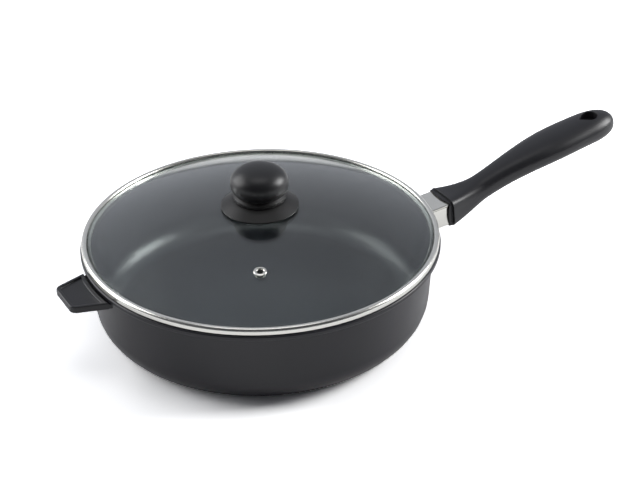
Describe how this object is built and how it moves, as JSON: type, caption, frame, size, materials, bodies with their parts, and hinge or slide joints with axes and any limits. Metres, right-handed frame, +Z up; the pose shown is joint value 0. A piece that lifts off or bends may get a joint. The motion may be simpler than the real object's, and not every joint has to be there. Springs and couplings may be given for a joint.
{
  "type": "saute pan with lid",
  "caption": "Deep round pan with a long moulded handle behind a steel flame guard, a side grip and a domed glass lid in a steel band with a knob and a steam vent.",
  "frame": {"origin": "centre of the base on the plane that the pan stands on", "axes": "+Z up along the pan's axis, +X out along the long handle, +Y to its left"},
  "size_m": [0.5246, 0.288, 0.1336],
  "materials": {
    "coated_aluminium": "satin charcoal non-stick coating on drawn aluminium",
    "bright_steel": "bright rolled stainless steel",
    "plain_steel": "zinc-plated or mill-finish steel",
    "moulded_grip": "satin charcoal phenolic moulding",
    "moulded_knob": "satin near-black phenolic moulding",
    "lid_glass": "clear tempered glass",
    "brass": "turned brass",
    "silicone": "moulded silicone"
  },
  "bodies": {
    "pan": {"pan_body": "coated_aluminium", "flame_guard": "bright_steel", "handle_tang": "plain_steel", "long_handle": "moulded_grip", "handle_screw": "plain_steel", "handle_washer": "plain_steel", "helper_tang": "plain_steel", "helper_handle": "moulded_grip", "helper_screw": "plain_steel", "helper_washer": "plain_steel"},
    "lid": {"lid_glass": "lid_glass", "lid_band": "bright_steel", "vent_eyelet": "bright_steel", "knob": "moulded_knob", "knob_skirt": "moulded_knob", "knob_insert": "brass", "knob_screw": "plain_steel", "knob_washer": "plain_steel", "knob_gasket_upper": "silicone", "knob_gasket_lower": "silicone"}
  },
  "joints": [
    {"name": "lid_lift", "type": "slide", "parent": "pan", "child": "lid", "axis": [0, 0, 1], "range_m": [0, 0.15]}
  ]
}
